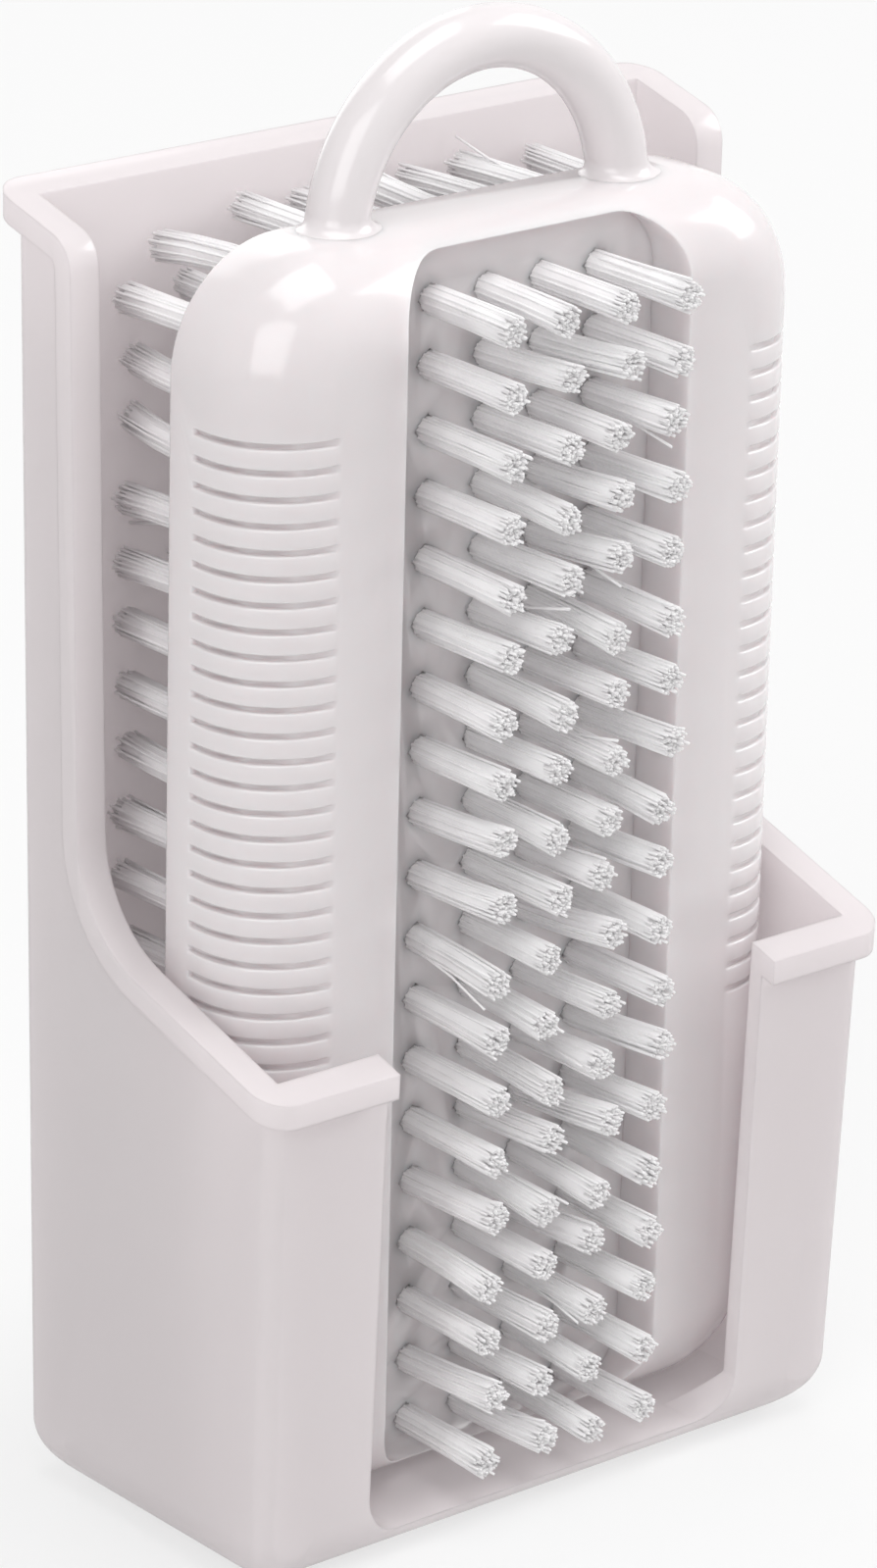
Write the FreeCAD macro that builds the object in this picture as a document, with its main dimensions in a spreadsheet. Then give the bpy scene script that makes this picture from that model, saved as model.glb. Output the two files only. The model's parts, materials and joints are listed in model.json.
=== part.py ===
import FreeCAD
import Part
import Sketcher
import math
import os
from FreeCAD import Vector

# A two-sided nail brush standing in its open-fronted holder.
# Millimetres. +Z is up, the narrow bristle field and the open slot face -Y,
# and the origin is on the table under the middle of the whole part.

SIZES = [
    # Brush body with its finger loop
    ("brush_width", 67.2, "across the grips"),
    ("brush_height", 123.9, "block without the loop"),
    ("brush_thickness", 14.8, "front face to back face"),
    ("shoulder_radius", 12.0, "corners of the block seen from the front"),
    ("front_edge_radius", 8.5, "soft edge round the front face"),
    ("back_edge_bevel", 1.2, "bevel round the back face"),
    ("recess_width", 34.0, "trough of the narrow bristle field"),
    ("recess_margin", 1.4, "block above and below the trough"),
    ("recess_radius", 6.5, "corners of the trough"),
    ("recess_depth", 5.6, "front face to the trough's floor"),
    ("loop_radius", 16.9, "middle of the loop's rod"),
    ("loop_rod", 6.0, "rod diameter"),
    ("loop_sides", 12, "flats round the rod"),
    ("loop_sink", 1.6, "loop centre below the top of the block"),
    ("loop_back", 3.9, "loop plane in front of the back face"),
    ("rib_pitch", 2.5, "grip ribs"),
    ("rib_top_margin", 16.1, "first groove below the top of the block"),
    ("rib_bottom_margin", 42.5, "least plain grip below the last groove"),
    ("rib_back_margin", 4.6, "plain strip between the ribs and the back face"),
    ("groove_width", 0.6, "between two ribs"),
    ("groove_depth", 0.65, "cut into the grip"),
    ("groove_runs", 3, "straight runs of a groove's root round the front edge"),
    # Bristle tufts
    ("tuft_diameter", 3.0, "one tuft across its corners"),
    ("tuft_sides", 4, "flats on a tuft"),
    ("socket_clearance", 0.08, "round a front tuft in its socket"),
    ("socket_depth", 4.0, "front tuft inside the block"),
    ("front_tuft_length", 12.2, "tuft beyond the trough's floor"),
    ("front_column_pitch", 6.6, "front tufts sideways"),
    ("front_side_margin", 7.0, "least trough beside the outer tufts' middles"),
    ("front_rows", 19, "rows of front tufts"),
    ("front_top_margin", 6.6, "top front row below the top of the block"),
    ("front_bottom_margin", 4.8, "last front row above the bottom of the block"),
    ("back_tuft_length", 14.0, "tuft beyond the back face"),
    ("back_column_pitch", 6.65, "back tufts sideways"),
    ("back_side_margin", 6.9, "least block beside the outer tufts' middles"),
    ("back_rows", 19, "rows of back tufts"),
    ("back_top_margin", 2.8, "top back row below the top of the block"),
    ("back_bottom_margin", 6.8, "last back row above the bottom of the block"),
    ("corner_tuft_drop", 2.2, "corner tufts below their row"),
    ("corner_tuft_inset", 1.85, "corner tufts inside their column"),
    # Holder, sized round the brush
    ("seat_gap", 0.3, "under the brush as it stands in the holder"),
    ("side_gap", 0.7, "from each grip to the side wall, at the table"),
    ("front_gap", 3.3, "from the block to the front wall, at the table"),
    ("back_tip_gap", 1.3, "from the back tips to the back wall"),
    ("lip_rise", 2.7, "back lip above the top of the block"),
    ("wall_thickness", 1.7, "side, front and back walls"),
    ("floor_thickness", 3.2, "floor of the holder"),
    ("side_flare", 1.8, "lean of each side over the holder's height"),
    ("front_flare", 4.5, "lean of the front over the holder's height"),
    ("corner_radius", 1.8, "upright outside corners"),
    ("foot_radius", 6.2, "outside edge round the foot"),
    ("cavity_foot_bevel", 4.0, "inside edge round the floor"),
    ("rim_proud", 1.6, "rim bead beyond the walls"),
    ("rim_thickness", 2.4, "rim bead from top to underside"),
    ("cheek_depth", 10.8, "side walls at the top, from the back face"),
    ("cheek_drop", 3.2, "fall of the side rim from the lip to the cheek corner"),
    ("cheek_lean", 0.5, "how far the cheek's front edge moves forward on its way down"),
    ("cheek_radius", 3.5, "rounded cheek corner"),
    ("wing_height", 52.3, "rim at the front of the wings"),
    ("wing_rise", 9.0, "rise of the wing rim towards the cheeks"),
    ("throat_radius", 12.0, "hollow curve from wing to cheek"),
    ("slot_width", 46.4, "opening between the wings"),
    ("slot_radius", 4.5, "lower corners of the opening"),
    # Shared
    ("overrun", 5.0, "cutters beyond what they cut"),
]

# Lengths closer than this count as touching
NEAR = 1e-4
# The least inner rounding of the bead as a share of its outer rounding
LEAST_ROUND_SHARE = 0.1

doc = FreeCAD.newDocument("nail_brush")


def make_sheet():
    """Put every driving size in one sheet, each cell under its own alias."""
    table = doc.addObject("Spreadsheet::Sheet", "sizes")
    for row, (alias, number, note) in enumerate(SIZES, start=1):
        table.set(f"A{row}", alias)
        table.set(f"B{row}", str(number))
        table.setAlias(f"B{row}", alias)
        table.set(f"C{row}", note)
    doc.recompute()
    return table


sheet = make_sheet()


def size(alias):
    return float(getattr(sheet, alias))


def count(alias):
    return int(round(size(alias)))


def worked_out(expression):
    return float(sheet.evalExpression(expression))


def fitted(span, pitch):
    """How many places a pitch apart fit on a span, with one at its start."""
    return 1 + int(span / pitch + NEAR)


# Sizes of the holder that follow from the brush and the gaps round it
BASE_WIDTH = "(sizes.brush_width + 2 * (sizes.side_gap + sizes.wall_thickness))"
BRUSH_DEPTH = "sizes.brush_thickness + sizes.back_tuft_length"
BASE_DEPTH = f"({BRUSH_DEPTH} + sizes.front_gap + sizes.back_tip_gap + 2 * sizes.wall_thickness)"
BRUSH_BOTTOM = "(sizes.floor_thickness + sizes.seat_gap)"
HOLDER_HEIGHT = f"({BRUSH_BOTTOM} + sizes.brush_height + sizes.lip_rise)"

# The holder's back face and the brush's back face, with the part's middle at zero
BACK_PLANE = f"(({BASE_DEPTH} + sizes.front_flare * sizes.wing_height / {HOLDER_HEIGHT}) / 2)"
BRUSH_BACK = f"({BACK_PLANE} - sizes.wall_thickness - sizes.back_tip_gap - sizes.back_tuft_length)"

holder_height = worked_out(HOLDER_HEIGHT)
back_plane = worked_out(BACK_PLANE)
half_depth = back_plane + size("rim_proud")
half_width = size("brush_width") / 2
brush_back = worked_out(BRUSH_BACK)
brush_front = brush_back - size("brush_thickness")
recess_floor = brush_front + size("recess_depth")
brush_top = worked_out(f"{BRUSH_BOTTOM} + sizes.brush_height")


def origin_plane(body, role):
    for feature in body.Origin.OriginFeatures:
        if feature.Role == role:
            return feature
    raise ValueError(role)


def plane_sketch(body, name, role):
    """A sketch on one origin plane of a body."""
    sketch = body.newObject("Sketcher::SketchObject", name)
    sketch.AttachmentSupport = (origin_plane(body, role), [""])
    sketch.MapMode = "FlatFace"
    return sketch


def rectangle(sketch, limits):
    """Draw a rectangle. limits gives the expressions for the distances from
    the sketch's origin to the left, right, lower and upper sides."""
    corners = [Vector(-1, -1, 0), Vector(1, -1, 0), Vector(1, 1, 0), Vector(-1, 1, 0)]
    for start, end in zip(corners, corners[1:] + corners[:1]):
        sketch.addGeometry(Part.LineSegment(start, end))
    for side in range(4):
        sketch.addConstraint(Sketcher.Constraint("Coincident", side, 2, (side + 1) % 4, 1))
        sketch.addConstraint(Sketcher.Constraint(("Horizontal", "Vertical")[side % 2], side))
    distances = [
        ("left", ("DistanceX", 0, 1, -1, 1)),
        ("right", ("DistanceX", -1, 1, 0, 2)),
        ("lower", ("DistanceY", 0, 1, -1, 1)),
        ("upper", ("DistanceY", -1, 1, 2, 1)),
    ]
    for (name, (kind, *ends)), limit in zip(distances, limits):
        index = sketch.addConstraint(Sketcher.Constraint(kind, *ends, 1.0))
        sketch.renameConstraint(index, name)
        sketch.setExpression(f"Constraints.{name}", limit)
    return sketch


def edges_where(feature, wanted):
    """Names of a feature's edges whose bounding box passes the test."""
    shape = feature.Shape
    return [f"Edge{i}" for i, edge in enumerate(shape.Edges, start=1) if wanted(edge.BoundBox)]


def dress_edges(body, base, kind, name, amount, wanted):
    """Fillet or chamfer the edges of base that pass the test."""
    doc.recompute()
    feature = body.newObject(f"PartDesign::{kind}", name)
    feature.Base = (base, edges_where(base, wanted))
    feature.setExpression({"Fillet": "Radius", "Chamfer": "Size"}[kind], amount)
    doc.recompute()
    return feature


def drafted_block(name, grow, bottom):
    """A block with the holder's leaning walls, grown outwards by the given
    expression. The wedge is drawn lying down and stood up: its Y is the height
    and its Z points to the front."""
    top = f"({HOLDER_HEIGHT} + sizes.overrun)"

    def side(height):
        return f"{BASE_WIDTH} / 2 + sizes.side_flare * {height} / {HOLDER_HEIGHT} + {grow}"

    def front(height):
        return f"{BASE_DEPTH} - {BACK_PLANE} + sizes.front_flare * {height} / {HOLDER_HEIGHT} + {grow}"

    back = f"-({BACK_PLANE} + {grow})"
    block = doc.addObject("Part::Wedge", name)
    limits = {
        "Xmin": f"-({side(bottom)})", "Xmax": side(bottom), "Zmin": back, "Zmax": front(bottom),
        "X2min": f"-({side(top)})", "X2max": side(top), "Z2min": back, "Z2max": front(top),
        "Ymin": bottom, "Ymax": top,
    }
    for limit, expression in limits.items():
        block.setExpression(limit, expression)
    block.Placement = FreeCAD.Placement(Vector(), FreeCAD.Rotation(Vector(1, 0, 0), 90))
    doc.recompute()
    return block


def dressed_block(kind, block, upright=0, foot=0):
    """Fillet or chamfer a drafted block's upright corners and its foot."""
    box = block.Shape.BoundBox
    amounts = []
    for index, edge in enumerate(block.Shape.Edges, start=1):
        if upright and edge.BoundBox.ZLength > box.ZLength / 2:
            amounts.append((index, upright, upright))
        elif foot and edge.BoundBox.ZMax < box.ZMin + NEAR:
            amounts.append((index, foot, foot))
    dressed = doc.addObject(f"Part::{kind}", f"dressed_{block.Label}")
    dressed.Base = block
    dressed.Edges = amounts
    doc.recompute()
    return dressed


def offset_path(points, distance):
    """Shift a path of straight runs in the YZ plane to its left."""
    runs = list(zip(points, points[1:]))
    normals = []
    for start, end in runs:
        along = (end - start).normalize()
        normals.append(Vector(0, -along.z, along.y))
    shifted = [points[0] + normals[0] * distance]
    for corner, before, after in zip(points[1:-1], normals, normals[1:]):
        shifted.append(corner + (before + after) * (distance / (1 + before.dot(after))))
    shifted.append(points[-1] + normals[-1] * distance)
    return shifted


def rounded_path(points, radii):
    """Edges along straight runs whose corners have tangent arcs. A radius of
    zero keeps a corner sharp."""
    edges = []
    start = points[0]
    for before, corner, after, radius in zip(points, points[1:], points[2:], radii):
        inward = (before - corner).normalize()
        outward = (after - corner).normalize()
        half = inward.getAngle(outward) / 2
        setback = radius / math.tan(half)
        first = corner + inward * setback
        edges.append(Part.LineSegment(start, first).toShape())
        start = corner + outward * setback
        if radius:
            bisector = (inward + outward).normalize()
            middle = corner + bisector * (radius / math.sin(half) - radius)
            edges.append(Part.Arc(first, middle, start).toShape())
    edges.append(Part.LineSegment(start, points[-1]).toShape())
    return edges


def outline(name, edges):
    """A flat face inside a closed run of edges, as an object of its own."""
    face = doc.addObject("Part::Feature", name)
    face.Shape = Part.Face(Part.Wire(Part.__sortEdges__(edges)))
    return face


def line(start, end):
    return Part.LineSegment(start, end).toShape()


def extrusion(name, base, direction, forward, backward):
    solid = doc.addObject("Part::Extrusion", name)
    solid.Base = base
    solid.DirMode = "Custom"
    solid.Dir = direction
    solid.Solid = True
    solid.setExpression("LengthFwd", forward)
    solid.setExpression("LengthRev", backward)
    return solid


def boolean(kind, name, base, tool):
    result = doc.addObject(f"Part::{kind}", name)
    result.Base = base
    result.Tool = tool
    result.Refine = True
    doc.recompute()
    return result


def rim_corners():
    """The rim seen from the side, from behind the back lip to before the wings."""
    reach = half_depth + size("overrun")
    cheek_front = back_plane - size("cheek_depth")
    throat = Vector(0, cheek_front - size("cheek_lean"), size("wing_height") + size("wing_rise"))
    lip_slope = size("cheek_drop") / (half_depth - cheek_front)
    wing_slope = size("wing_rise") / (half_depth + throat.y)
    return [
        Vector(0, reach, holder_height + lip_slope * size("overrun")),
        Vector(0, cheek_front, holder_height - size("cheek_drop")),
        throat,
        Vector(0, -reach, size("wing_height") - wing_slope * size("overrun")),
    ]


def make_holder():
    """One moulding: leaning walls, a floor, a bead along the rim and an open slot."""
    outer = dressed_block(
        "Fillet", drafted_block("outer_block", "0", "0"), size("corner_radius"), size("foot_radius"))
    cavity = dressed_block(
        "Chamfer", drafted_block("cavity_block", "(-sizes.wall_thickness)", "sizes.floor_thickness"),
        foot=size("cavity_foot_bevel"))
    bead = dressed_block(
        "Fillet", drafted_block("bead_block", "sizes.rim_proud", "0"),
        upright=size("corner_radius") + size("rim_proud"))

    top_path = rim_corners()
    low_path = offset_path(top_path, size("rim_thickness"))
    top_radii = [size("cheek_radius"), size("throat_radius")]
    inner_cheek = max(size("cheek_radius") - size("rim_thickness"), size("cheek_radius") * LEAST_ROUND_SHARE)
    low_radii = [inner_cheek, size("throat_radius") + size("rim_thickness")]
    top_edges = rounded_path(top_path, top_radii)
    low_edges = rounded_path(low_path, low_radii)
    band_ends = [line(top_path[0], low_path[0]), line(top_path[-1], low_path[-1])]
    band_outline = outline("rim_band_outline", top_edges + low_edges + band_ends)

    ceiling = holder_height + 2 * size("overrun")
    back_above = Vector(0, top_path[0].y, ceiling)
    front_above = Vector(0, top_path[-1].y, ceiling)
    above_ends = [
        line(top_path[0], back_above), line(back_above, front_above), line(front_above, top_path[-1])]
    above_outline = outline("above_rim_outline", top_edges + above_ends)

    reach = f"{BASE_WIDTH} / 2 + sizes.side_flare + sizes.rim_proud + sizes.overrun"
    band = extrusion("rim_band", band_outline, Vector(1, 0, 0), reach, reach)
    above = extrusion("above_rim", above_outline, Vector(1, 0, 0), reach, reach)

    half_slot = size("slot_width") / 2
    front_reach = -half_depth - size("overrun")
    slot_corners = [
        Vector(-half_slot, front_reach, ceiling),
        Vector(-half_slot, front_reach, size("floor_thickness")),
        Vector(half_slot, front_reach, size("floor_thickness")),
        Vector(half_slot, front_reach, ceiling),
    ]
    slot_edges = rounded_path(slot_corners, [size("slot_radius"), size("slot_radius")])
    slot_outline = outline("slot_outline", slot_edges + [line(slot_corners[-1], slot_corners[0])])
    wall_reach = "sizes.rim_proud + sizes.front_flare + sizes.wall_thickness + sizes.cavity_foot_bevel"
    slot = extrusion("front_slot", slot_outline, Vector(0, 1, 0), f"2 * sizes.overrun + {wall_reach}", "0")
    doc.recompute()

    rim = boolean("Common", "rim_bead", bead, band)
    shell = boolean("Fuse", "shell_and_rim", outer, rim)
    shell = boolean("Cut", "hollow_shell", shell, cavity)
    shell = boolean("Cut", "trimmed_shell", shell, above)
    return boolean("Cut", "holder", shell, slot)


def make_brush_block():
    """The moulded block: rounded shoulders, a soft front edge, a crisp back edge."""
    body = doc.addObject("PartDesign::Body", "brush_block")
    wide = "sizes.brush_width / 2"
    tall = "sizes.brush_height / 2"
    sketch = rectangle(plane_sketch(body, "block_outline", "XZ_Plane"), [wide, wide, tall, tall])
    pad = body.newObject("PartDesign::Pad", "block_pad")
    pad.Profile = sketch
    pad.setExpression("Length", "sizes.brush_thickness")
    thickness = size("brush_thickness")

    def across(box):
        return box.YLength > thickness / 2

    def at_front(box):
        return box.YMax < -thickness + NEAR

    def at_back(box):
        return box.YMin > -NEAR

    tip = dress_edges(body, pad, "Fillet", "block_shoulders", "sizes.shoulder_radius", across)
    tip = dress_edges(body, tip, "Fillet", "block_front_edge", "sizes.front_edge_radius", at_front)
    body.Tip = dress_edges(body, tip, "Chamfer", "block_back_edge", "sizes.back_edge_bevel", at_back)
    place(body, BRUSH_BACK)
    return body


def place(thing, depth):
    """Set an object at the middle height of the brush and at a depth."""
    thing.setExpression("Placement.Base.y", depth)
    thing.setExpression("Placement.Base.z", f"{BRUSH_BOTTOM} + sizes.brush_height / 2")
    doc.recompute()


def make_recess():
    """The trough of the narrow bristle field."""
    body = doc.addObject("PartDesign::Body", "recess_block")
    wide = "sizes.recess_width / 2"
    tall = "sizes.brush_height / 2 - sizes.recess_margin"
    sketch = rectangle(plane_sketch(body, "recess_outline", "XZ_Plane"), [wide, wide, tall, tall])
    pad = body.newObject("PartDesign::Pad", "recess_pad")
    pad.Profile = sketch
    pad.setExpression("Length", "sizes.recess_depth + sizes.overrun")
    depth = size("recess_depth")

    def across(box):
        return box.YLength > depth

    body.Tip = dress_edges(body, pad, "Fillet", "recess_corners", "sizes.recess_radius", across)
    place(body, f"{BRUSH_BACK} - sizes.brush_thickness + sizes.recess_depth")
    return body


def make_loop():
    """The finger loop: half a ring of round rod, rooted in the top of the block."""
    section = doc.addObject("Part::RegularPolygon", "loop_section")
    section.setExpression("Polygon", "sizes.loop_sides")
    section.setExpression("Circumradius", "sizes.loop_rod / 2")
    section.setExpression("Placement.Base.x", "sizes.loop_radius")
    loop = doc.addObject("Part::Revolution", "loop_ring")
    loop.Source = section
    loop.Axis = Vector(0, -1, 0)
    loop.Angle = 180
    loop.Solid = True
    loop.setExpression("Placement.Base.y", f"{BRUSH_BACK} - sizes.loop_back")
    loop.setExpression("Placement.Base.z", f"{BRUSH_BOTTOM} + sizes.brush_height - sizes.loop_sink")
    return loop


def make_grooves():
    """Cutters for the grip ribs: level slots round the front edge of each grip.
    A slot's root follows the grip's outline, moved in by the groove's depth, in
    straight runs, so a groove is deepest on the side and fades out on the front."""
    radius = size("front_edge_radius")
    depth = size("groove_depth")
    width = size("groove_width")
    runs = count("groove_runs")
    run_of_ribs = size("brush_height") - size("rib_top_margin") - size("rib_bottom_margin")
    cutters = []
    for side in (-1, 1):
        wall = side * (half_width - depth)
        bend = Vector(wall - side * radius, brush_front + radius, 0)
        corners = [Vector(wall, brush_back - size("rib_back_margin"), 0)]
        for run in range(runs + 1):
            turn = math.pi / 2 * run / runs
            corners.append(bend + Vector(side * math.cos(turn), -math.sin(turn), 0) * radius)
        ahead = brush_front - size("overrun")
        beside = side * (half_width + size("overrun"))
        corners += [Vector(bend.x, ahead, 0), Vector(beside, ahead, 0), Vector(beside, corners[0].y, 0)]
        slot = Part.Face(Part.makePolygon(corners + corners[:1])).extrude(Vector(0, 0, width))
        for groove in range(fitted(run_of_ribs, size("rib_pitch"))):
            middle = brush_top - size("rib_top_margin") - groove * size("rib_pitch")
            copy = slot.copy()
            copy.translate(Vector(0, 0, middle - width / 2))
            cutters.append(copy)
    grooves = doc.addObject("Part::Feature", "grip_grooves")
    grooves.Shape = Part.Compound(cutters)
    return grooves


def row_height(field, row):
    """Height of one row, counted from the top. The rows of the front or the back
    field are spread evenly between its margins."""
    top = size(f"{field}_top_margin")
    span = size("brush_height") - top - size(f"{field}_bottom_margin")
    return brush_top - top - span * row / (count(f"{field}_rows") - 1)


def front_places(row):
    """Middles of the tufts in one front row, counted from the top."""
    pitch = size("front_column_pitch")
    columns = fitted(size("recess_width") - 2 * size("front_side_margin"), pitch)
    height = row_height("front", row)
    return [((column - (columns - 1) / 2) * pitch, height) for column in range(columns)]


def back_places(row):
    """Middles of the tufts in one back row. The top row's end tufts sit in and
    down to follow the rounded shoulders."""
    pitch = size("back_column_pitch")
    columns = fitted(size("brush_width") - 2 * size("back_side_margin"), pitch)
    height = row_height("back", row)
    places = []
    for column in range(columns):
        across = (column - (columns - 1) / 2) * pitch
        if row == 0 and column in (0, columns - 1):
            inset = math.copysign(size("corner_tuft_inset"), across)
            places.append((across - inset, height - size("corner_tuft_drop")))
        else:
            places.append((across, height))
    return places


def prism(across, height, start, end, radius):
    """A tuft or its socket, from one depth to another."""
    sides = count("tuft_sides")
    corners = []
    for corner in range(sides):
        angle = 2 * math.pi * corner / sides
        corners.append(Vector(across + radius * math.cos(angle), start, height + radius * math.sin(angle)))
    face = Part.Face(Part.makePolygon(corners + corners[:1]))
    return face.extrude(Vector(0, end - start, 0))


def make_rows(label, rows, places, seat, tip):
    """One object for each row of tufts, each tuft a solid of its own."""
    objects = []
    for row in range(rows):
        tufts = [prism(x, z, seat, tip, size("tuft_diameter") / 2) for x, z in places(row)]
        item = doc.addObject("Part::Feature", f"{label}_{row + 1:02d}")
        item.Shape = Part.Compound(tufts)
        objects.append(item)
    return objects


def make_sockets():
    """Blind sockets for the front tufts, a clearance wider than the tufts."""
    radius = size("tuft_diameter") / 2 + size("socket_clearance")
    mouth = recess_floor - size("overrun")
    cutters = []
    for row in range(count("front_rows")):
        cutters += [prism(x, z, front_seat, mouth, radius) for x, z in front_places(row)]
    sockets = doc.addObject("Part::Feature", "tuft_sockets")
    sockets.Shape = Part.Compound(cutters)
    return sockets


def make_brush():
    """The block with its trough, grips and sockets, and the loop that stands on it."""
    block = make_brush_block()
    loop = boolean("Cut", "finger_loop", make_loop(), block)
    body = boolean("Cut", "block_with_trough", block, make_recess())
    body = boolean("Cut", "block_with_grips", body, make_grooves())
    return [boolean("Cut", "brush_body", body, make_sockets()), loop]


def check_document(nodes):
    """Stop before anything is written if an object failed or a node is unsound."""
    for item in doc.Objects:
        if "Invalid" in item.State or "Error" in item.State:
            raise RuntimeError(f"{item.Label}: {item.State}")
    for item in nodes:
        shape = item.Shape
        if shape.isNull() or not shape.isValid() or not shape.Solids:
            raise RuntimeError(f"{item.Label} has no sound solid")


def write_nodes(nodes):
    os.makedirs("parts", exist_ok=True)
    for item in nodes:
        item.Shape.exportStep(f"parts/{item.Label}.step")
        box = item.Shape.BoundBox
        print(f"{item.Label}: {len(item.Shape.Solids)} solid(s), {item.Shape.Volume:.1f} mm3, "
              f"x {box.XMin:.2f} to {box.XMax:.2f}, y {box.YMin:.2f} to {box.YMax:.2f}, "
              f"z {box.ZMin:.2f} to {box.ZMax:.2f}")


front_seat = recess_floor + size("socket_depth")
front_tips = recess_floor - size("front_tuft_length")
back_tips = brush_back + size("back_tuft_length")

nodes = [make_holder()] + make_brush()
nodes += make_rows("front_tuft_row", count("front_rows"), front_places, front_seat, front_tips)
nodes += make_rows("back_tuft_row", count("back_rows"), back_places, brush_back, back_tips)
doc.recompute()
check_document(nodes)
write_nodes(nodes)
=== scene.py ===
import json
import math
import random

import bmesh
import bpy
from mathutils import Matrix, Vector
from mathutils.bvhtree import BVHTree

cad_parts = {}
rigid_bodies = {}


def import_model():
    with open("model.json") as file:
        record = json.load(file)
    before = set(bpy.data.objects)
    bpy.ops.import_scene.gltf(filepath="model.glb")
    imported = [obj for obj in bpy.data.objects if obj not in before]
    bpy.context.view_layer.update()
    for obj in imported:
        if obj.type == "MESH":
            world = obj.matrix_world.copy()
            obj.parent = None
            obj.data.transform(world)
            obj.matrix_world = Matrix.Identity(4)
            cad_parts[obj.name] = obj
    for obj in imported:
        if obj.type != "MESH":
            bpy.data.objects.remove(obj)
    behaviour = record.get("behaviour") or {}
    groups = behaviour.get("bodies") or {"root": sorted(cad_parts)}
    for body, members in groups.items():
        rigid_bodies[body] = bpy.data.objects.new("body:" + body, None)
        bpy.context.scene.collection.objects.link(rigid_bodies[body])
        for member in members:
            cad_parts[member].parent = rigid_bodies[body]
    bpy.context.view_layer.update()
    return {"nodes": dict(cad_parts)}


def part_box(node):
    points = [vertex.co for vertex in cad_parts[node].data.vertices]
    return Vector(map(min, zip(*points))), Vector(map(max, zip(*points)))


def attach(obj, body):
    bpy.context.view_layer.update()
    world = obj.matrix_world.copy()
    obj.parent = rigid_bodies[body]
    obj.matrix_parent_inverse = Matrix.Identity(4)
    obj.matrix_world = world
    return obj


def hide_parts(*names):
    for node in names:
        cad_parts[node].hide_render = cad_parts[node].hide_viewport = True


# A white two-sided nail brush in its holder. Metres, in the part's own frame:
# +Z up, the narrow bristle field faces -Y.

MM = 0.001

# Camera, as fitted to the photograph
IMAGE_HEIGHT = 1599
CAMERA_AZIMUTH = math.radians(-40.149)
CAMERA_ELEVATION = math.radians(20.512)
CAMERA_ROLL = math.radians(1.358)
CAMERA_DISTANCE = 650.05 * MM
CAMERA_TARGET = Vector((0, 2.305, 68.3)) * MM
FOCAL_PIXELS = 6942.57
SENSOR = 36.0
AXIS_LEFT_PIXELS = 1.03
AXIS_DOWN_PIXELS = 3.78
CAMERA_NEAR = 10 * MM

# Bristles
SEED = 7
FILAMENTS = 72
FILAMENT_RADIUS = 0.16 * MM
FILAMENT_SIDES = 4
FILAMENT_RINGS = 4
TUFT_RADIUS = 1.32 * MM
TUFT_FLARE = 1.07
TUFT_LEAN = math.radians(1.6)
LENGTH_SPREAD = 0.3 * MM
BEND_SPREAD = 0.1 * MM
STRAY_SHARE = 0.01
STRAY_SPREAD = 0.9 * MM
CORE_RADIUS = 1.3 * MM
CORE_SIDES = 12
CORE_SHORT = 0.8 * MM
GOLDEN_ANGLE = math.pi * (3 - math.sqrt(5))
TUFTS_APART = 2  # whole millimetres across, without a vertex

# Colours and finishes
HOLDER_DARK = (0.86, 0.818, 0.827, 1)
HOLDER_LIGHT = (0.872, 0.834, 0.841, 1)
HOLDER_ROUGH = (0.17, 0.23)
HOLDER_SOFT_EDGE = 0.4 * MM
HOLDER_THROUGH_SHARE = 0.4
BRUSH_DARK = (0.73, 0.688, 0.698, 1)
BRUSH_LIGHT = (0.745, 0.705, 0.713, 1)
BRUSH_ROUGH = (0.15, 0.21)
BRUSH_SOFT_EDGE = 0.25 * MM
BLOCK_UNDER_SKIN_WEIGHT = 0.9
BLOCK_UNDER_SKIN_TINT = (1.0, 0.88, 0.88)
BLOCK_UNDER_SKIN_REACH = 2.5 * MM
PLASTIC_IOR = 1.48
COAT_WEIGHT = 0.3
COAT_ROUGH = 0.07
CLOUD_SCALE = 35
SKIN_SCALE = 240
GRAIN_SCALE = 900
GRAIN_DETAIL = 4
GRAIN_STRENGTH = 0.05
GRAIN_HEIGHT = 0.05 * MM
NYLON_DARK = (0.97, 0.95, 0.96, 1)
NYLON_LIGHT = (0.998, 0.992, 0.996, 1)
NYLON_ROUGH = 0.45
NYLON_IOR = 1.4
NYLON_THROUGH_SHARE = 0.15

# Light and floor
LAMP_DISTANCE = 2.4
LAMPS = (  # name, azimuth and elevation in degrees, width, watts
    ("left_light", -56, 28, 1.8, 26),
    ("right_light", 70, 30, 1.2, 28),
    ("top_light", 0, 84, 1.8, 32),
    ("back_light", 165, 20, 1.8, 13.6),
)
AMBIENT = 0.33
WHITE = 1.0
FLOOR_HALF = 4.0
FLOOR_DARK = 0.70
FLOOR_LIGHT = 0.73
FLOOR_SCALE = 3
FLOOR_ROUGH = 0.9
FLOOR_SHINE = 0.1
FLOOR_GLOW_SHARE = 0.68

# Moulded pieces
RIM_ROUND = 0.82 * MM
BODY_ROUND = 0.5 * MM
TROUGH_DEPTH = 4 * MM
TROUGH_HALF = 17 * MM
ROUND_STEPS = 3
ROUND_PROFILE = 0.5
MERGE_DISTANCE = 0.001 * MM
SHARP_ANGLE = math.radians(35)
FLAT_ANGLE = math.radians(0.5)
LOOP_ROOT_FILLET = 1.5 * MM
LOOP_ROOT_SINK = 0.03 * MM
LOOP_ROOT_STEPS = 10
LOOP_ROOT_PROBE = 2 * MM
LOOP_ROOT_CLEAR = 1.1
LOOP_STEPS = 150
LOOP_SIDES = 28
LOOP_BACK_SHARE = 0.3


def clear_scene():
    """Take out what a new file starts with."""
    for item in list(bpy.data.objects):
        bpy.data.objects.remove(item)


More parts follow.
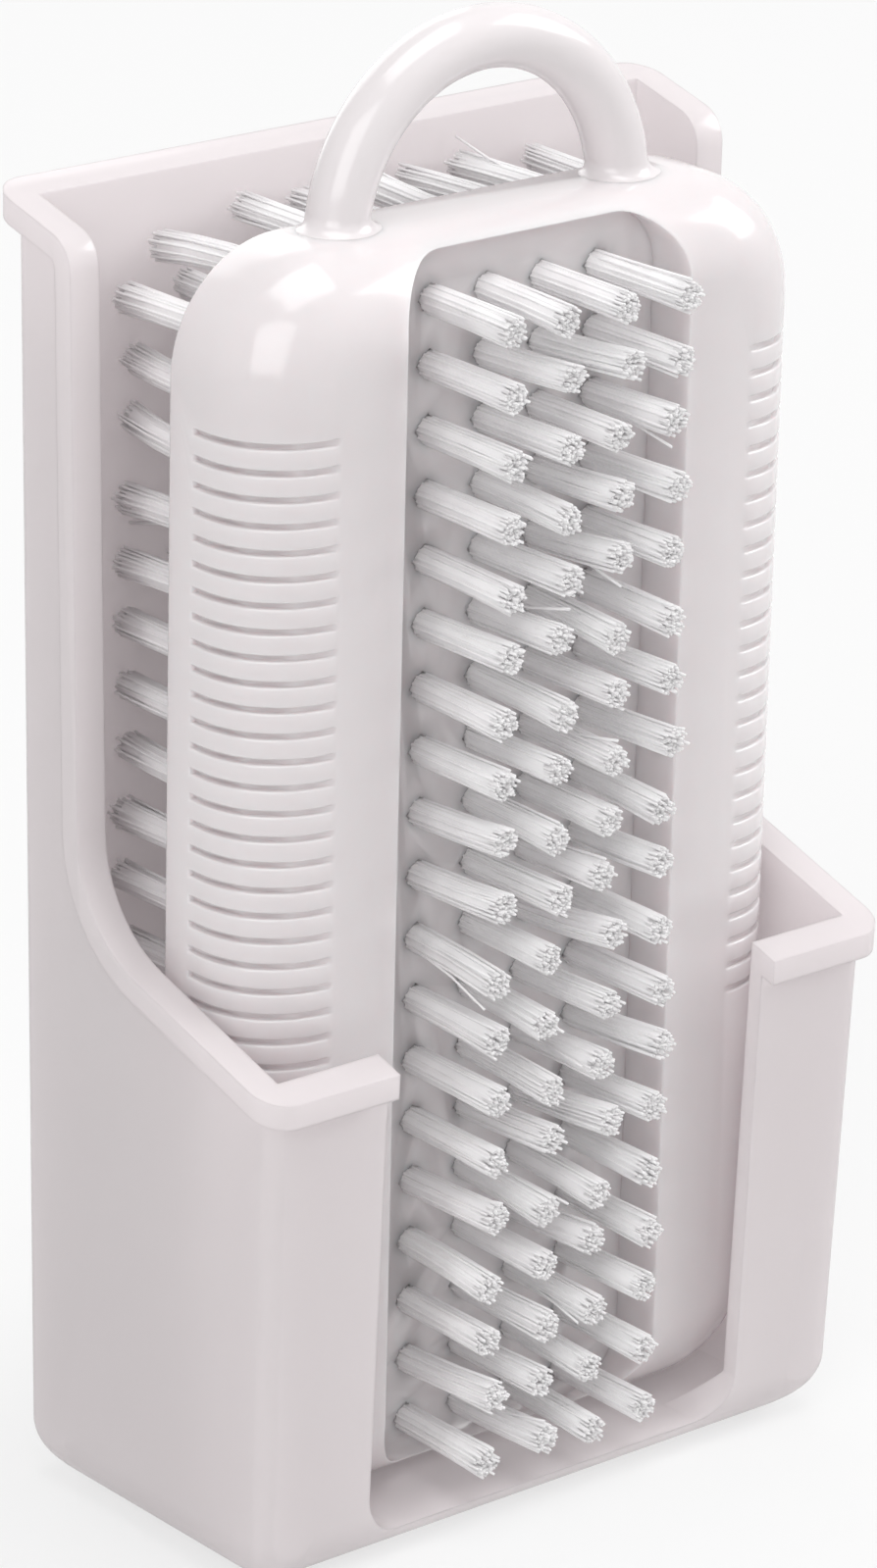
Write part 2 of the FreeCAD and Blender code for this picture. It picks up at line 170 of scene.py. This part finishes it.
def node_material(name):
    """A new material with its Principled shader and its node tree."""
    material = bpy.data.materials.new(name)
    material.use_nodes = True
    tree = material.node_tree
    return material, tree, tree.nodes["Principled BSDF"]


def noise(tree, scale, detail=2.0):
    """Noise in object space; the scale is in features per metre."""
    place = tree.nodes.new("ShaderNodeTexCoord")
    texture = tree.nodes.new("ShaderNodeTexNoise")
    texture.inputs["Scale"].default_value = scale
    texture.inputs["Detail"].default_value = detail
    tree.links.new(place.outputs["Object"], texture.inputs["Vector"])
    return texture.outputs["Fac"]


def ramp(tree, source, low, high):
    """Spread a factor between two colours or two grey values."""
    node = tree.nodes.new("ShaderNodeValToRGB")
    node.color_ramp.elements[0].color = low
    node.color_ramp.elements[1].color = high
    tree.links.new(source, node.inputs["Fac"])
    return node.outputs["Color"]


def grey(value):
    """An opaque grey."""
    return (value, value, value, 1)


def plastic(name, dark, light, rough, soft_edge):
    """White moulded plastic: a faint cloudy tint, a fine skin and softened edges."""
    material, tree, shader = node_material(name)
    colour = ramp(tree, noise(tree, CLOUD_SCALE), dark, light)
    tree.links.new(colour, shader.inputs["Base Color"])
    roughness = ramp(tree, noise(tree, SKIN_SCALE), grey(rough[0]), grey(rough[1]))
    tree.links.new(roughness, shader.inputs["Roughness"])
    bump = tree.nodes.new("ShaderNodeBump")
    bump.inputs["Strength"].default_value = GRAIN_STRENGTH
    bump.inputs["Distance"].default_value = GRAIN_HEIGHT
    tree.links.new(noise(tree, GRAIN_SCALE, GRAIN_DETAIL), bump.inputs["Height"])
    soften = tree.nodes.new("ShaderNodeBevel")
    soften.inputs["Radius"].default_value = soft_edge
    tree.links.new(soften.outputs["Normal"], bump.inputs["Normal"])
    tree.links.new(bump.outputs["Normal"], shader.inputs["Normal"])
    shader.inputs["IOR"].default_value = PLASTIC_IOR
    shader.inputs["Coat Weight"].default_value = COAT_WEIGHT
    shader.inputs["Coat Roughness"].default_value = COAT_ROUGH
    return material, tree, shader, colour


def let_light_through(tree, shader, colour, share):
    """Make a thin piece milky: a share of its light comes from behind."""
    behind = tree.nodes.new("ShaderNodeBsdfTranslucent")
    tree.links.new(colour, behind.inputs["Color"])
    milky = tree.nodes.new("ShaderNodeMixShader")
    milky.inputs["Fac"].default_value = share
    tree.links.new(shader.outputs["BSDF"], milky.inputs[1])
    tree.links.new(behind.outputs["BSDF"], milky.inputs[2])
    tree.links.new(milky.outputs["Shader"], tree.nodes["Material Output"].inputs["Surface"])


def holder_plastic():
    """The thin-walled holder, which glows a little where light is behind it."""
    material, tree, shader, colour = plastic(
        "holder_plastic_look", HOLDER_DARK, HOLDER_LIGHT, HOLDER_ROUGH, HOLDER_SOFT_EDGE)
    let_light_through(tree, shader, colour, HOLDER_THROUGH_SHARE)
    return material


def brush_plastic(name):
    """The moulded brush, a shade greyer than its holder."""
    return plastic(name, BRUSH_DARK, BRUSH_LIGHT, BRUSH_ROUGH, BRUSH_SOFT_EDGE)


def block_plastic():
    """The solid block, with light that travels a little way under its skin."""
    material, _, shader, _ = brush_plastic("block_plastic_look")
    shader.inputs["Subsurface Weight"].default_value = BLOCK_UNDER_SKIN_WEIGHT
    shader.inputs["Subsurface Radius"].default_value = BLOCK_UNDER_SKIN_TINT
    shader.inputs["Subsurface Scale"].default_value = BLOCK_UNDER_SKIN_REACH
    return material


def nylon():
    """Milky filament, each one a little lighter or darker than the next."""
    material, tree, shader = node_material("bristle_nylon_look")
    shade = tree.nodes.new("ShaderNodeAttribute")
    shade.attribute_name = "shade"
    colour = ramp(tree, shade.outputs["Fac"], NYLON_DARK, NYLON_LIGHT)
    tree.links.new(colour, shader.inputs["Base Color"])
    shader.inputs["Roughness"].default_value = NYLON_ROUGH
    shader.inputs["IOR"].default_value = NYLON_IOR
    let_light_through(tree, shader, colour, NYLON_THROUGH_SHARE)
    return material


def new_mesh_object(name, points, faces, material):
    """A smooth-shaded mesh object in the scene."""
    mesh = bpy.data.meshes.new(name)
    mesh.from_pydata(points, [], faces)
    mesh.materials.append(material)
    mesh.shade_smooth()
    piece = bpy.data.objects.new(name, mesh)
    bpy.context.scene.collection.objects.link(piece)
    return piece


def tube(points, faces, shades, path, radius, sides, shade):
    """Add one closed tube along its path, with flat ends."""
    first = len(points)
    for centre in path:
        for side in range(sides):
            angle = 2 * math.pi * side / sides
            points.append(centre + Vector((math.cos(angle), 0, math.sin(angle))) * radius)
            shades.append(shade)
    for ring in range(len(path) - 1):
        low = first + ring * sides
        for side in range(sides):
            beside = (side + 1) % sides
            faces.append((low + side, low + beside, low + sides + beside, low + sides + side))
    end = first + (len(path) - 1) * sides
    faces.append(tuple(first + side for side in reversed(range(sides))))
    faces.append(tuple(end + side for side in range(sides)))


def tuft(points, faces, shades, root, reach, rng):
    """Add one tuft: filaments packed round a solid core, flaring a little
    towards ragged ends. reach is the signed length along Y."""
    lean = Vector((rng.gauss(0, 1), 0, rng.gauss(0, 1))) * math.tan(TUFT_LEAN) * abs(reach)
    turn = rng.uniform(0, 2 * math.pi)

    def bent_path(start, bend, length):
        shares = [ring / (FILAMENT_RINGS - 1) for ring in range(FILAMENT_RINGS)]
        return [root + start + bend * share ** 2 + Vector((0, length * share, 0)) for share in shares]

    core = bent_path(Vector(), lean, reach - math.copysign(CORE_SHORT, reach))
    tube(points, faces, shades, core, CORE_RADIUS, CORE_SIDES, rng.random())
    for index in range(FILAMENTS):
        radius = TUFT_RADIUS * math.sqrt((index + 0.5) / FILAMENTS)
        angle = turn + index * GOLDEN_ANGLE
        start = Vector((math.cos(angle), 0, math.sin(angle))) * radius
        length = reach + math.copysign(rng.gauss(0, LENGTH_SPREAD), reach)
        spread = BEND_SPREAD if rng.random() > STRAY_SHARE else STRAY_SPREAD
        bend = lean + start * (TUFT_FLARE - 1)
        bend += Vector((rng.gauss(0, spread), 0, rng.gauss(0, spread)))
        path = bent_path(start, bend, length)
        tube(points, faces, shades, path, FILAMENT_RADIUS, FILAMENT_SIDES, rng.random())


def tuft_middles(node):
    """Middles of a CAD row's tufts: its vertices gathered by their place across."""
    groups = {}
    for vertex in node.data.vertices:
        groups.setdefault(round(vertex.co.x / MM), []).append(vertex.co)
    middles = []
    xs = sorted(groups)
    runs = [[xs[0]]]
    for x in xs[1:]:
        if x - runs[-1][-1] > TUFTS_APART:
            runs.append([])
        runs[-1].append(x)
    for run in runs:
        spots = [co for x in run for co in groups[x]]
        lowest = Vector(min(co[axis] for co in spots) for axis in range(3))
        highest = Vector(max(co[axis] for co in spots) for axis in range(3))
        middles.append((lowest + highest) / 2)
    return middles


def make_bristles(frame, material):
    """Replace each CAD row of tufts by a row of filament bundles."""
    for name in sorted(frame["nodes"]):
        if "_tuft_row_" not in name:
            continue
        rng = random.Random(f"{SEED} {name}")
        low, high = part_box(name)
        front = name.startswith("front")
        seat, tip = (high.y, low.y) if front else (low.y, high.y)
        points, faces, shades = [], [], []
        for middle in tuft_middles(frame["nodes"][name]):
            root = Vector((middle.x, seat, middle.z))
            tuft(points, faces, shades, root, tip - seat, rng)
        piece = new_mesh_object(name.replace("tuft_row", "bristles"), points, faces, material)
        attribute = piece.data.attributes.new("shade", "FLOAT", "POINT")
        attribute.data.foreach_set("value", shades)
        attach(piece, "brush")
        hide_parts(name)


def every_edge(edge):
    """A test that takes any edge."""
    return True


def block_edges():
    """A test that takes the block's outer edges, but not the mouths of its sockets."""
    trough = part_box("brush_body")[0].y + TROUGH_DEPTH

    def outer(edge):
        middle = (edge.verts[0].co + edge.verts[1].co) / 2
        in_trough = abs(middle.x) < TROUGH_HALF and middle.y > trough
        return edge.is_convex and not in_trough

    return outer


def rounded_copy(node, name, body, material, width, rounds):
    """Replace a CAD node by a copy with rounded edges: those that are sharp and
    that rounds takes."""
    shape = bmesh.new()
    shape.from_mesh(node.data)
    shape.transform(node.matrix_world)
    bmesh.ops.remove_doubles(shape, verts=shape.verts, dist=MERGE_DISTANCE)
    bmesh.ops.dissolve_limit(shape, angle_limit=FLAT_ANGLE, verts=shape.verts, edges=shape.edges)
    sharp = [edge for edge in shape.edges
             if edge.is_manifold and edge.calc_face_angle(0) > SHARP_ANGLE and rounds(edge)]
    bmesh.ops.bevel(
        shape, geom=sharp, offset=width, offset_type="OFFSET", segments=ROUND_STEPS,
        profile=ROUND_PROFILE, affect="EDGES", clamp_overlap=True)
    mesh = bpy.data.meshes.new(name)
    shape.to_mesh(mesh)
    shape.free()
    mesh.materials.clear()
    mesh.materials.append(material)
    mesh.set_sharp_from_angle(angle=SHARP_ANGLE)
    piece = bpy.data.objects.new(name, mesh)
    bpy.context.scene.collection.objects.link(piece)
    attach(piece, body)
    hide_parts(node.name)


def loop_ring(out):
    """Directions round the loop's rod where the loop leaves its centre along out."""
    turns = [2 * math.pi * side / LOOP_SIDES for side in range(LOOP_SIDES)]
    return [out * math.cos(turn) + Vector((0, math.sin(turn), 0)) for turn in turns]


def root_ring(surface, centre, bend, rod, deck, side, tilt):
    """One ring of the fillet at a root of the loop, which follows the block's top.
    side is 1 or -1, and tilt goes from 0 on the rod to a right angle on the block."""

    def beside_rod(away, radius, height):
        across = side * math.sqrt(bend ** 2 - (height - centre.z) ** 2)
        return Vector((across + away.x * radius, centre.y + away.y * radius, height))

    ring = []
    for away in loop_ring(Vector((side, 0, 0))):
        fillet = LOOP_ROOT_FILLET * (1 - (1 - LOOP_BACK_SHARE) * max(away.y, 0))
        above = beside_rod(away, rod + fillet, deck) + Vector((0, 0, LOOP_ROOT_PROBE))
        hit = surface.ray_cast(above, Vector((0, 0, -1)), 2 * LOOP_ROOT_PROBE)[0]
        ground = hit.z if hit else deck
        height = ground + fillet * (1 - math.sin(tilt)) - LOOP_ROOT_SINK
        ring.append(beside_rod(away, rod + fillet * (1 - math.cos(tilt)), height))
    return ring


def loop_faces(rings):
    """Faces between the loop's rings, and one over each end."""
    faces = []
    for ring in range(rings - 1):
        low = ring * LOOP_SIDES
        high = low + LOOP_SIDES
        for side in range(LOOP_SIDES):
            beside = (side + 1) % LOOP_SIDES
            faces.append((low + beside, low + side, high + side, high + beside))
    last = (rings - 1) * LOOP_SIDES
    faces.append(tuple(range(LOOP_SIDES)))
    faces.append(tuple(last + side for side in reversed(range(LOOP_SIDES))))
    return faces


def make_loop(block, material):
    """Replace the finger loop by a smooth rod with a fillet at each root."""
    low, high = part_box("finger_loop")
    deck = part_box("brush_body")[1].z
    rise = high.z - deck
    outer = (high.x ** 2 + rise ** 2) / (2 * rise)
    rod = (high.y - low.y) / 2
    bend = outer - rod
    centre = Vector((0, (high.y + low.y) / 2, high.z - outer))
    surface = BVHTree.FromPolygons(
        [vertex.co for vertex in block.data.vertices], [face.vertices for face in block.data.polygons])
    tilts = [math.pi / 2 * step / LOOP_ROOT_STEPS for step in range(LOOP_ROOT_STEPS + 1)]
    rings = [root_ring(surface, centre, bend, rod, deck, 1, tilt) for tilt in reversed(tilts)]
    first = math.asin((deck + LOOP_ROOT_CLEAR * LOOP_ROOT_FILLET - centre.z) / (bend - rod))
    for step in range(LOOP_STEPS + 1):
        around = first + (math.pi - 2 * first) * step / LOOP_STEPS
        out = Vector((math.cos(around), 0, math.sin(around)))
        rings.append([centre + out * bend + away * rod for away in loop_ring(out)])
    rings += [root_ring(surface, centre, bend, rod, deck, -1, tilt) for tilt in tilts]
    points = [spot for ring in rings for spot in ring]
    piece = new_mesh_object("smooth_loop", points, loop_faces(len(rings)), material)
    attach(piece, "brush")
    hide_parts("finger_loop")


def seen_directly(tree):
    """One for rays from the camera, a mirror or a clear surface, else zero."""
    path = tree.nodes.new("ShaderNodeLightPath")
    first = tree.nodes.new("ShaderNodeMath")
    first.operation = "MAXIMUM"
    tree.links.new(path.outputs["Is Camera Ray"], first.inputs[0])
    tree.links.new(path.outputs["Is Glossy Ray"], first.inputs[1])
    either = tree.nodes.new("ShaderNodeMath")
    either.operation = "MAXIMUM"
    tree.links.new(first.outputs[0], either.inputs[0])
    tree.links.new(path.outputs["Is Transmission Ray"], either.inputs[1])
    return either.outputs[0]


def make_floor():
    """A pale floor that reads near white and still takes the shadow."""
    material, tree, shader = node_material("floor_look")
    colour = ramp(tree, noise(tree, FLOOR_SCALE), grey(FLOOR_DARK), grey(FLOOR_LIGHT))
    tree.links.new(colour, shader.inputs["Base Color"])
    shader.inputs["Roughness"].default_value = FLOOR_ROUGH
    shader.inputs["Specular IOR Level"].default_value = FLOOR_SHINE
    glow = tree.nodes.new("ShaderNodeEmission")
    glow.inputs["Strength"].default_value = WHITE
    share = tree.nodes.new("ShaderNodeMixShader")
    seen = tree.nodes.new("ShaderNodeMath")
    seen.operation = "MULTIPLY"
    seen.inputs[1].default_value = FLOOR_GLOW_SHARE
    tree.links.new(seen_directly(tree), seen.inputs[0])
    tree.links.new(seen.outputs[0], share.inputs["Fac"])
    tree.links.new(shader.outputs["BSDF"], share.inputs[1])
    tree.links.new(glow.outputs["Emission"], share.inputs[2])
    tree.links.new(share.outputs["Shader"], tree.nodes["Material Output"].inputs["Surface"])
    corners = [(x * FLOOR_HALF, y * FLOOR_HALF, 0) for x, y in ((-1, -1), (1, -1), (1, 1), (-1, 1))]
    floor = new_mesh_object("floor", corners, [(0, 1, 2, 3)], material)


def direction(azimuth, elevation):
    """Unit vector from the part towards a viewer; azimuth 0 looks along +Y."""
    flat = math.cos(elevation)
    return Vector((math.sin(azimuth) * flat, -math.cos(azimuth) * flat, math.sin(elevation)))


def area_light(name, azimuth, elevation, width, watts):
    """A soft square lamp that faces the middle of the part."""
    data = bpy.data.lights.new(name, "AREA")
    data.shape = "SQUARE"
    data.size = width
    data.energy = watts
    lamp = bpy.data.objects.new(name, data)
    toward = direction(math.radians(azimuth), math.radians(elevation))
    lamp.location = CAMERA_TARGET + toward * LAMP_DISTANCE
    lamp.rotation_euler = toward.to_track_quat("Z", "Y").to_euler()
    bpy.context.scene.collection.objects.link(lamp)


def make_lights():
    """Soft lamps all round, and a world that looks white but lights less."""
    for lamp in LAMPS:
        area_light(*lamp)
    world = bpy.data.worlds.new("studio_world")
    world.use_nodes = True
    bpy.context.scene.world = world
    tree = world.node_tree
    background = tree.nodes["Background"]
    background.inputs["Color"].default_value = grey(WHITE)
    strength = tree.nodes.new("ShaderNodeMapRange")
    strength.inputs["To Min"].default_value = AMBIENT
    strength.inputs["To Max"].default_value = WHITE
    tree.links.new(seen_directly(tree), strength.inputs["Value"])
    tree.links.new(strength.outputs["Result"], background.inputs["Strength"])


def make_camera():
    """The photograph's camera."""
    backward = direction(CAMERA_AZIMUTH, CAMERA_ELEVATION)
    right = Vector((0, 0, 1)).cross(backward).normalized()
    up = backward.cross(right)
    rolled_right = right * math.cos(CAMERA_ROLL) + up * math.sin(CAMERA_ROLL)
    rolled_up = up * math.cos(CAMERA_ROLL) - right * math.sin(CAMERA_ROLL)
    data = bpy.data.cameras.new("photo_camera")
    data.sensor_fit = "AUTO"
    data.sensor_width = SENSOR
    data.lens = SENSOR * FOCAL_PIXELS / IMAGE_HEIGHT
    data.shift_x = AXIS_LEFT_PIXELS / IMAGE_HEIGHT
    data.shift_y = AXIS_DOWN_PIXELS / IMAGE_HEIGHT
    data.clip_start = CAMERA_NEAR
    camera = bpy.data.objects.new("photo_camera", data)
    turn = Matrix((rolled_right, rolled_up, backward)).transposed().to_4x4()
    camera.matrix_world = Matrix.Translation(CAMERA_TARGET + backward * CAMERA_DISTANCE) @ turn
    bpy.context.scene.collection.objects.link(camera)
    bpy.context.scene.camera = camera


clear_scene()
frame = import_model()

nodes = frame["nodes"]
rounded_copy(
    nodes["holder"], "holder_moulding", "holder",
    holder_plastic(), RIM_ROUND, every_edge)
rounded_copy(
    nodes["brush_body"], "brush_moulding", "brush",
    block_plastic(), BODY_ROUND, block_edges())
make_loop(nodes["brush_body"], brush_plastic("loop_plastic_look")[0])
make_bristles(frame, nylon())

make_floor()
make_lights()
make_camera()
bpy.context.scene.view_settings.view_transform = "Standard"
